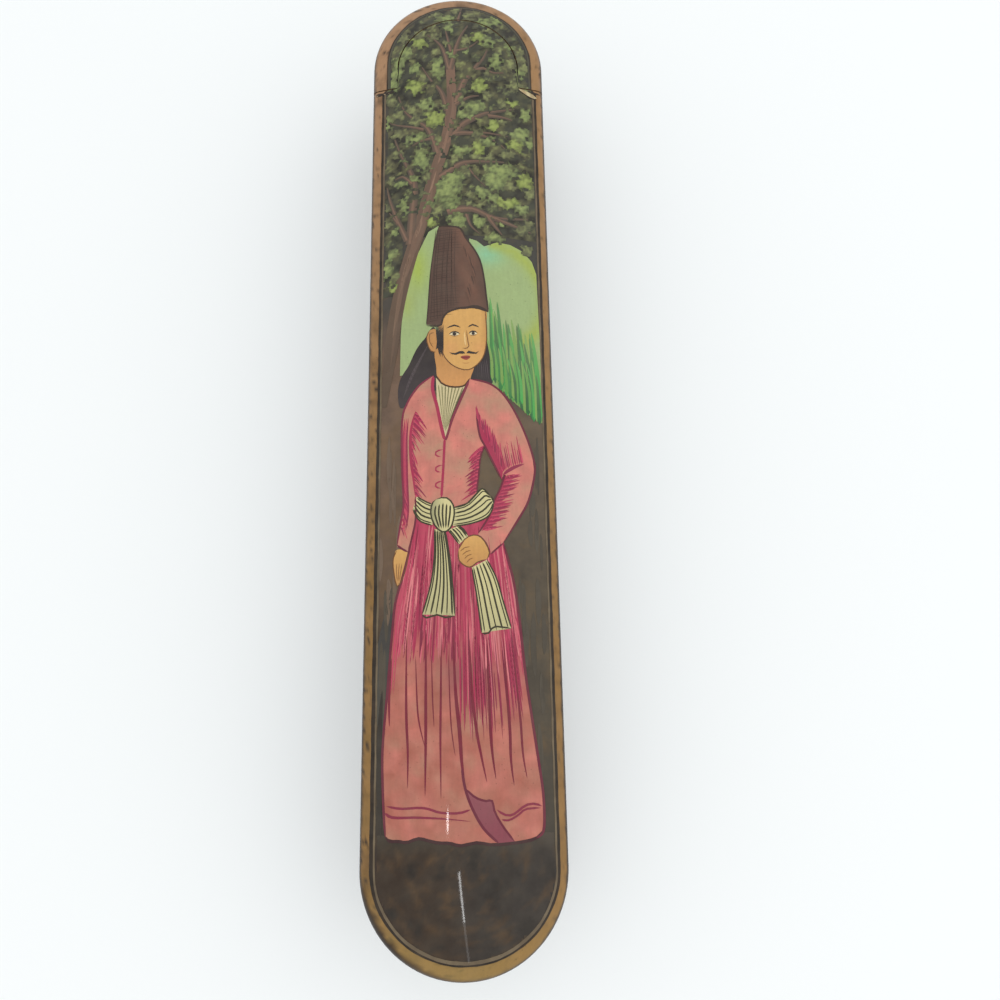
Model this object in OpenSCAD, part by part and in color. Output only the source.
// Qalamdan: a sliding pen box of lacquered papier-mache.
// A round-ended sheath with a crowned top takes a drawer from its head end. The drawer carries an
// inkwell with a hinged lid, three reed pens and a penknife. The sheath's top runs on as a rounded
// tongue, and the drawer's head closes round it like a horseshoe.
// Millimetres. X is across the box, Y runs along it with the drawer's head at +Y, Z is up.

/* [Case] */
// Overall length of the closed box
case_length = 218; // [200:1:260]
// Overall width
case_width = 40; // [39:0.5:50]
// Overall height at the crown of the top
case_height = 38; // [37:0.5:48]
// Radius of the crowned top, seen along the box
crown_radius = 70; // [55:1:110]
// Rounding of the long top edges
top_edge_radius = 2; // [1.5:0.5:4]
// Rounding of the long bottom edges
base_edge_radius = 7; // [6.6:0.1:9]
// Thickness of the papier-mache wall
case_wall = 3; // [2.5:0.1:3.4]

/* [Seam] */
// Length of the drawer's head, from its shoulders to its tip
head_length = 26.8; // [26:0.1:33]
// Length of the sheath's tongue past the shoulders
tongue_length = 18.7; // [16:0.1:19.5]
// Radius of the tongue's rounded end, and half its width
tongue_radius = 14; // [13:0.1:14.1]
// Open seam between the sheath and the drawer's head
seam_gap = 0.3; // [0.25:0.05:0.4]

/* [Drawer] */
// Clearance all round between the tray and the sheath
slide_gap = 0.3; // [0.25:0.05:0.45]
// Thickness of the tray's wall and floor
tray_wall = 2.2; // [1.8:0.1:2.6]
// Height of the tray's rim above the table
tray_rim_height = 26; // [24:0.5:27]
// Thickness of the paper pasted on the tray's floor
lining_thickness = 0.4; // [0.3:0.05:0.6]
// Thickness of the board between the pens and the inkwell
partition_thickness = 1.8; // [1.4:0.1:2.4]
// Height of that board above the lining
partition_height = 15; // [12:0.5:17]
// Length of the inkwell's own bay
inkwell_bay_length = 33; // [31:0.5:38]

/* [Inkwell] */
// Clearance between the inkwell and the tray
inkwell_gap = 0.3; // [0.2:0.05:0.5]
// Thickness of the inkwell's sheet brass
cup_wall = 1.2; // [0.9:0.1:1.5]
// Thickness of the inkwell's top plate
plate_thickness = 1.2; // [0.9:0.1:1.5]
// Radius of the round mouth
mouth_radius = 4.6; // [4.2:0.1:5]
// Wall of the collar round the mouth
collar_wall = 1; // [0.8:0.1:1.2]
// Height of the collar above the plate
collar_height = 1.6; // [1.5:0.05:2]
// How far the lid stands out past the collar
lid_overhang = 0.5; // [0.3:0.1:0.8]
// Height of the lid's dome
lid_height = 2.2; // [1.8:0.1:2.4]
// Thickness of the lid's flat rim
lid_rim = 0.8; // [0.6:0.1:1]
// Radius of the knob on the lid
knob_radius = 1.1; // [0.9:0.1:1.3]
// Space between the lid and the pieces it moves past
moving_gap = 0.3; // [0.25:0.05:0.4]
// Radius of the hinge knuckles
knuckle_radius = 1.2; // [1.1:0.05:1.3]
// Radius of the hinge pin
pin_radius = 0.55; // [0.5:0.05:0.6]
// Length of the lid's own knuckle
lid_knuckle_length = 4; // [3:0.25:5]
// Length of each of the plate's two knuckles
plate_knuckle_length = 1.8; // [1.4:0.1:2.2]
// Space kept between the open lid and the sheath's top
lid_headroom = 1.8; // [0.5:0.1:2.5]
// Radius of the silk wad in the inkwell
wad_radius = 8; // [6:0.5:9]
// Height of the silk wad
wad_height = 4; // [3:0.25:5]

/* [Reed pens] */
// Diameter of the broad pen
broad_pen_diameter = 7.2; // [6.6:0.1:7.4]
// Diameter of the medium pen
medium_pen_diameter = 6.2; // [5.6:0.1:6.5]
// Diameter of the fine pen
fine_pen_diameter = 5.2; // [4.8:0.1:5.5]
// Room left in the tray past the broad pen
broad_pen_spare = 22; // [18:1:40]
// Room left in the tray past the medium pen
medium_pen_spare = 29; // [18:1:40]
// Room left in the tray past the fine pen
fine_pen_spare = 36; // [18:1:50]
// Depth of the reed's bore, from either end
reed_bore_depth = 46; // [36:1:60]
// Share of the reed's radius that the bore takes
reed_bore_share = 0.56; // [0.5:0.01:0.62]
// Flat length of the cut nib
nib_length = 11; // [8:0.5:14]
// Radius of the hollow cut above the nib
nib_scoop_radius = 20; // [16:1:30]
// Thickness of the nib
nib_thickness = 1.1; // [0.9:0.05:1.3]
// Width of the nib at its tip
nib_tip_width = 2.6; // [2:0.1:3]
// Slant of the cut across the nib's tip, in degrees
nib_slant = 22; // [10:1:30]
// How far a ring at the reed's joint stands out
reed_ring = 0.12; // [0.1:0.01:0.13]
// Width of the slit in the nib
slit_width = 0.3; // [0.25:0.05:0.4]

/* [Penknife] */
// Length of the handle
handle_length = 78; // [60:1:84]
// Largest diameter of the handle
handle_diameter = 7.2; // [6.6:0.1:7.4]
// Diameter of the handle at its two ends
handle_end_diameter = 5.4; // [5:0.1:6]
// Length of the brass bolster
bolster_length = 7; // [5:0.5:9]
// Length of the blade past the bolster
blade_length = 36; // [26:1:44]
// Width of the blade at the bolster
blade_width = 5; // [4.4:0.1:5.2]
// Thickness of the blade
blade_thickness = 1.1; // [0.9:0.1:1.4]
// Straight part of the blade's cutting edge
straight_edge = 12; // [8:1:16]
// Thickness of the blade at its cutting edge
edge_thickness = 0.25; // [0.2:0.05:0.4]
// Length of the tang inside the handle
tang_length = 52; // [40:1:56]
// Width of the tang
tang_width = 2.6; // [2.2:0.1:3]
// Radius of the cross pins that hold the tang
rivet_radius = 0.7; // [0.5:0.05:0.8]
// Height of the button at the handle's end
button_length = 2.4; // [2:0.1:3]

/* [Hidden] */
$fn = 96;
eps = 0.02;
half_width = case_width / 2;
// The two ends are half circles in plan, so their centres stand in by half the width.
end_centre = case_length / 2 - half_width;
seam_y = case_length / 2 - head_length;
tongue_centre = seam_y + tongue_length - tongue_radius;
// Crown and edge arcs of the section meet without a corner, at any inset.
crown_z = case_height - crown_radius;
function edge_r(inset) = max(top_edge_radius - inset, 1);
function edge_x(inset) = half_width - inset - edge_r(inset);
function edge_z(inset) =
  crown_z + sqrt(pow(crown_radius - inset - edge_r(inset), 2) - pow(edge_x(inset), 2));

tray_inset = case_wall + slide_gap;
bay_inset = tray_inset + tray_wall;
floor_z = bay_inset + lining_thickness;
bay_half = half_width - bay_inset;

// Where the board stands: the inkwell's bay runs from it to the tray's front wall.
bay_front = case_length / 2 - bay_inset;
bay_back = -bay_front;
partition_y = bay_front - inkwell_bay_length - partition_thickness;

// The open lid has to clear the lowest place of the sheath's top, at the tongue's rim.
roof_low = crown_z + sqrt(pow(crown_radius - case_wall, 2) - pow(tongue_radius, 2));
lid_radius = mouth_radius + collar_wall + lid_overhang;
hinge_reach = lid_radius + knuckle_radius + moving_gap;
hinge_lift = knuckle_radius + moving_gap;
lid_rise = collar_height + moving_gap + lid_rim;
lid_swing = norm([hinge_reach + lid_radius, lid_rise - hinge_lift]);
plate_top = roof_low - lid_headroom - lid_swing - hinge_lift;
plate_z = plate_top - plate_thickness;
hinge_z = plate_top + hinge_lift;
collar_top = plate_top + collar_height;
cup_inset = bay_inset + inkwell_gap;
cup_back = partition_y + partition_thickness + inkwell_gap;
cup_front = case_length / 2 - cup_inset;
mouth_y = (cup_back + cup_front) / 2 - 1.5;
hinge_y = mouth_y + hinge_reach;

// Pens and knife lie side by side, with even gaps across the tray.
lying_gap = 0.15;
across_gap = (2 * bay_half - broad_pen_diameter - medium_pen_diameter - fine_pen_diameter
  - handle_diameter) / 5;
broad_x = -bay_half + across_gap + broad_pen_diameter / 2;
medium_x = broad_x + broad_pen_diameter / 2 + across_gap + medium_pen_diameter / 2;
fine_x = medium_x + medium_pen_diameter / 2 + across_gap + fine_pen_diameter / 2;
knife_x = fine_x + fine_pen_diameter / 2 + across_gap + handle_diameter / 2;
pen_front = partition_y - 1.2;
pen_room = pen_front - bay_back;
knife_z = floor_z + lying_gap + handle_diameter / 2;
knife_back = pen_front - 4 - button_length - handle_length - bolster_length;

// Lower half of the box's upright section, drawn in by an even inset: straight side, round foot.
module half_trough(inset) {
  foot = max(base_edge_radius - inset, 1);
  foot_x = half_width - inset - foot;
  translate([0, inset + foot]) square([half_width - inset, edge_z(inset) - inset - foot]);
  intersection() {
    translate([foot_x, inset + foot]) circle(r = foot);
    translate([foot_x, inset]) square(foot);
  }
  translate([0, inset]) square([foot_x, foot]);
}

// Half of the whole section: the trough with the crown and the rounded top edge on it.
// The edge's circle stands a hair outside the crown's, so the two arcs cross and don't just touch.
module half_section(inset) {
  ex = edge_x(inset);
  ez = edge_z(inset);
  far = [0, crown_z] + 3 * [ex, ez - crown_z];
  half_trough(inset);
  intersection() {
    translate([0, crown_z]) circle(r = crown_radius - inset);
    translate([0, ez]) square([half_width - inset, crown_radius]);
    union() {
      polygon([[0, ez - 1], [ex, ez - 1], [ex, ez], far, [0, far[1]]]);
      translate([ex, ez]) circle(r = edge_r(inset) + eps);
    }
  }
}

// Carries a half section and its mirror image along a stretch of the box.
module straight(from_y, to_y) {
  for (side = [0, 1])
    mirror([side, 0, 0]) translate([0, to_y, 0]) rotate([90, 0, 0])
      linear_extrude(height = to_y - from_y) children();
}

// Turns a half section round the end where the drawer comes out.
module head_end() {
  translate([0, end_centre, 0]) rotate_extrude(angle = 180) children();
}

// Turns a half section round the closed end.
module foot_end() {
  translate([0, -end_centre, 0]) rotate([0, 0, 180]) rotate_extrude(angle = 180) children();
}

// The whole round-ended form of a half section.
module round_ended() {
  straight(-end_centre, end_centre) children();
  head_end() children();
  foot_end() children();
}

// A block across the whole box, from one place along it to another and between two heights.
module stretch(from_y, to_y, from_z, to_z) {
  translate([-case_width, from_y, from_z]) cube([2 * case_width, to_y - from_y, to_z - from_z]);
}

// Plan of the tongue, grown by a clearance, as an upright block from a height up.
module tongue_block(grow, from_z) {
  reach = tongue_radius + grow;
  translate([0, tongue_centre, from_z]) cylinder(r = reach, h = case_height);
  translate([-reach, seam_y - 1, from_z]) cube([2 * reach, tongue_centre - seam_y + 1, case_height]);
}

// The sheath's wall, seen along the box.
module half_wall() {
  difference() {
    half_section(0);
    half_section(case_wall);
  }
}

module sheath_shell() {
  color("saddlebrown") {
    straight(-end_centre, seam_y) half_wall();
    foot_end() half_wall();
    intersection() {
      union() {
        straight(seam_y, end_centre) half_wall();
        head_end() half_wall();
      }
      tongue_block(0, case_height / 2);
    }
  }
}

// Half of the tray's section as a solid, up to its rim.
module half_tray(inset) {
  intersection() {
    half_trough(inset);
    square([half_width, tray_rim_height]);
  }
}

module drawer_tray() {
  color("firebrick")
    round_ended()
      difference() {
        half_tray(tray_inset);
        half_trough(bay_inset);
      }
}

// The drawer's head takes the tray below its rim and is a plain wall above it.
module half_head() {
  difference() {
    half_section(0);
    half_tray(tray_inset);
    intersection() {
      half_section(case_wall);
      translate([0, tray_rim_height]) square(case_height);
    }
  }
}

module drawer_head() {
  color("peru")
    difference() {
      union() {
        straight(seam_y + seam_gap, end_centre) half_head();
        head_end() half_head();
      }
      tongue_block(seam_gap, tray_rim_height);
    }
}

// The inside of the tray, cut to a stretch of it and between two heights.
module bay_piece(inset, from_y, to_y, from_z, to_z) {
  intersection() {
    round_ended() half_trough(inset);
    stretch(from_y, to_y, from_z, to_z);
  }
}

module tray_lining() {
  color("wheat") bay_piece(bay_inset, -case_length, partition_y, 0, floor_z);
}

module inkwell_lining() {
  color("wheat") bay_piece(bay_inset, partition_y + partition_thickness, case_length, 0, floor_z);
}

module inkwell_partition() {
  color("firebrick")
    bay_piece(bay_inset, partition_y, partition_y + partition_thickness, 0, floor_z + partition_height);
}

module inkwell_cup() {
  color("goldenrod")
    difference() {
      bay_piece(cup_inset, cup_back, case_length, floor_z, plate_z);
      bay_piece(cup_inset + cup_wall, cup_back + cup_wall, case_length, floor_z + cup_wall, case_height);
    }
}

// Hinge line of the lid: the child is drawn along X from the middle of the hinge.
module on_hinge() {
  translate([0, hinge_y, hinge_z]) rotate([0, 90, 0]) children();
}

module inkwell_plate() {
  knuckle_x = lid_knuckle_length / 2 + moving_gap;
  color("goldenrod")
    difference() {
      union() {
        bay_piece(cup_inset, cup_back, case_length, plate_z, plate_top);
        for (side = [0, 1])
          mirror([side, 0, 0]) {
            translate([knuckle_x, 0, 0]) on_hinge() cylinder(r = knuckle_radius, h = plate_knuckle_length);
            translate([knuckle_x, hinge_y - knuckle_radius * 0.8, plate_top - eps])
              cube([plate_knuckle_length, knuckle_radius * 1.6, hinge_lift]);
          }
      }
      translate([0, mouth_y, plate_z - 1]) cylinder(r = mouth_radius, h = plate_thickness + 2);
      on_hinge() cylinder(r = pin_radius + 0.03, h = case_width, center = true);
    }
}

module inkwell_collar() {
  color("gold")
    translate([0, mouth_y, plate_top])
      difference() {
        union() {
          cylinder(r = mouth_radius + collar_wall, h = collar_height);
          cylinder(r = mouth_radius + collar_wall + 0.4, h = collar_height / 3);
        }
        translate([0, 0, -1]) cylinder(r = mouth_radius, h = collar_height + 2);
      }
}

module hinge_pin() {
  pin_length = lid_knuckle_length + 2 * moving_gap + 2 * plate_knuckle_length;
  color("darkgoldenrod")
    on_hinge() {
      cylinder(r = pin_radius, h = pin_length + 1, center = true);
      for (side = [0, 1])
        mirror([0, 0, side]) translate([0, 0, pin_length / 2]) cylinder(r = pin_radius + 0.3, h = 0.5);
    }
}

// The lid is sheet metal: a flat rim, a dome hollow from below, and a turned knob.
module inkwell_lid() {
  lid_z = collar_top + moving_gap;
  dome_base = lid_radius - 0.6;
  dome_rise = lid_height - lid_rim;
  dome_radius = (pow(dome_base, 2) + pow(dome_rise, 2)) / (2 * dome_rise);
  dome_z = lid_z + lid_height - dome_radius;
  color("gold")
    difference() {
      union() {
        translate([0, mouth_y, lid_z]) cylinder(r = lid_radius, h = lid_rim);
        translate([0, mouth_y, 0]) rotate_extrude() {
          intersection() {
            translate([0, dome_z]) circle(r = dome_radius);
            translate([0, lid_z]) square([dome_base, dome_radius]);
          }
          translate([0, lid_z + lid_rim]) square([knob_radius * 0.6, dome_rise + 1]);
          intersection() {
            translate([0, lid_z + lid_height + knob_radius + 0.3]) circle(r = knob_radius);
            translate([0, lid_z]) square(case_height);
          }
        }
        translate([-lid_knuckle_length / 2, mouth_y + lid_radius - 0.8, lid_z])
          cube([lid_knuckle_length, hinge_reach - lid_radius + 0.8, lid_rim]);
        on_hinge() cylinder(r = knuckle_radius, h = lid_knuckle_length, center = true);
      }
      translate([0, mouth_y, 0]) rotate_extrude()
        intersection() {
          translate([0, dome_z - 0.7]) circle(r = dome_radius);
          translate([0, lid_z - 1]) square([mouth_radius, dome_radius]);
        }
      on_hinge() cylinder(r = pin_radius + 0.05, h = case_width, center = true);
    }
}

// A pill of silk floss that soaks up the ink.
module silk_wad() {
  round = wad_height / 2;
  color("black")
    translate([0, mouth_y, floor_z + cup_wall])
      rotate_extrude() {
        square([wad_radius - round, wad_height]);
        intersection() {
          translate([wad_radius - round, round]) circle(r = round);
          translate([wad_radius - round - eps, 0]) square(wad_height);
        }
      }
}

// A reed cut for writing, lying along Y with its nib at the far end and the cut side up.
module reed_pen(diameter, length) {
  r = diameter / 2;
  nib_z = nib_thickness - r;
  difference() {
    union() {
      rotate([-90, 0, 0]) cylinder(r = r, h = length);
      translate([0, length * 0.4, 0]) rotate([-90, 0, 0]) cylinder(r = r + reed_ring, h = 1.4);
    }
    translate([0, -1, 0]) rotate([-90, 0, 0]) cylinder(r = r * reed_bore_share, h = reed_bore_depth + 1);
    translate([0, length - reed_bore_depth, 0]) rotate([-90, 0, 0])
      cylinder(r = r * reed_bore_share, h = reed_bore_depth + 1);
    translate([-diameter, length - nib_length, nib_z]) cube([2 * diameter, nib_length + 1, diameter]);
    translate([0, length - nib_length, nib_z + nib_scoop_radius]) rotate([0, 90, 0])
      cylinder(r = nib_scoop_radius, h = 2 * diameter, center = true);
    for (side = [0, 1])
      mirror([side, 0, 0]) translate([nib_tip_width / 2, length, -diameter]) rotate([0, 0, 7])
        translate([0, -2 * nib_length, 0]) cube([diameter, 3 * nib_length, 2 * diameter]);
    translate([0, length, -diameter]) rotate([0, 0, nib_slant])
      translate([-diameter, 0, 0]) cube([2 * diameter, diameter, 2 * diameter]);
    translate([-slit_width / 2, length - nib_length * 0.8, -diameter])
      cube([slit_width, nib_length, 2 * diameter]);
  }
}

// Puts a pen on the tray's floor with its nib at the board.
module lay_pen(x, diameter, spare) {
  length = pen_room - spare;
  translate([x, pen_front - length, floor_z + lying_gap + diameter / 2]) reed_pen(diameter, length);
}

module reed_pen_broad() {
  color("sienna") lay_pen(broad_x, broad_pen_diameter, broad_pen_spare);
}

module reed_pen_medium() {
  color("peru") lay_pen(medium_x, medium_pen_diameter, medium_pen_spare);
}

module reed_pen_fine() {
  color("sienna") lay_pen(fine_x, fine_pen_diameter, fine_pen_spare);
}

// The knife lies along Y: its button is at the board and its blade points to the foot of the box.
module at_knife() {
  translate([knife_x, knife_back, knife_z]) children();
}

// A swelling handle, turned about the knife's own line.
module handle_form() {
  steps = 12;
  swell = (handle_diameter - handle_end_diameter) / 2;
  curve = [for (i = [0 : steps])
    [handle_end_diameter / 2 + swell * sin(180 * i / steps), handle_length * i / steps]];
  translate([0, bolster_length, 0]) rotate([-90, 0, 0]) rotate_extrude()
    polygon(concat([[0, 0]], curve, [[0, handle_length]]));
}

// Places of the two cross pins, upright through handle and tang.
module at_rivets() {
  for (along = [0.24, 0.76])
    translate([0, bolster_length + tang_length * along, 0]) children();
}

module rivet_hole() {
  cylinder(r = rivet_radius, h = 2 * handle_diameter, center = true);
}

// Room for the tang through the bolster and into the handle.
module tang_slot() {
  translate([-tang_width / 2, -1, -blade_thickness / 2])
    cube([tang_width, bolster_length + tang_length + 1, blade_thickness]);
}

module knife_handle() {
  color("ivory")
    at_knife()
      difference() {
        handle_form();
        tang_slot();
        at_rivets() rivet_hole();
      }
}

module knife_bolster() {
  r = handle_end_diameter / 2;
  color("gold")
    at_knife()
      difference() {
        rotate([-90, 0, 0]) {
          cylinder(r1 = r * 0.8, r2 = r, h = bolster_length * 0.4);
          translate([0, 0, bolster_length * 0.4]) cylinder(r = r, h = bolster_length * 0.6);
          translate([0, 0, bolster_length * 0.4]) cylinder(r = r + 0.3, h = bolster_length * 0.15);
        }
        tang_slot();
      }
}

// The blade is one wedge, thick at the back and thin at the edge, with a belly that curves to the tip.
module knife_blade() {
  belly = blade_length - straight_edge;
  belly_radius = (pow(blade_width, 2) + pow(belly, 2)) / (2 * blade_width);
  half = blade_width / 2;
  back = blade_thickness / 2;
  edge = edge_thickness / 2;
  color("silver")
    at_knife()
      difference() {
        union() {
          intersection() {
            rotate([90, 0, 0]) linear_extrude(height = blade_length)
              polygon([[-half, -edge], [half, -back], [half, back], [-half, edge]]);
            translate([0, 0, -blade_thickness]) linear_extrude(height = 2 * blade_thickness) {
              translate([-half, -straight_edge]) square([blade_width, straight_edge]);
              intersection() {
                translate([belly_radius - half, -straight_edge]) circle(r = belly_radius, $fn = 360);
                translate([-half, -blade_length]) square([blade_width, belly + eps]);
              }
            }
          }
          translate([-tang_width / 2, -eps, -back])
            cube([tang_width, bolster_length + tang_length + eps, blade_thickness]);
        }
        at_rivets() rivet_hole();
      }
}

module knife_rivets() {
  color("gold")
    at_knife()
      intersection() {
        handle_form();
        at_rivets() rivet_hole();
      }
}

module knife_button() {
  r = handle_end_diameter / 2;
  color("gold")
    at_knife() translate([0, bolster_length + handle_length, 0]) rotate([-90, 0, 0]) {
      cylinder(r = r + 0.25, h = button_length * 0.35);
      translate([0, 0, button_length * 0.35]) cylinder(r1 = r * 0.75, r2 = r * 0.4, h = button_length * 0.65);
    }
}

sheath_shell();
drawer_tray();
drawer_head();
tray_lining();
inkwell_lining();
inkwell_partition();
inkwell_cup();
inkwell_plate();
inkwell_collar();
hinge_pin();
inkwell_lid();
silk_wad();
reed_pen_broad();
reed_pen_medium();
reed_pen_fine();
knife_handle();
knife_bolster();
knife_blade();
knife_rivets();
knife_button();
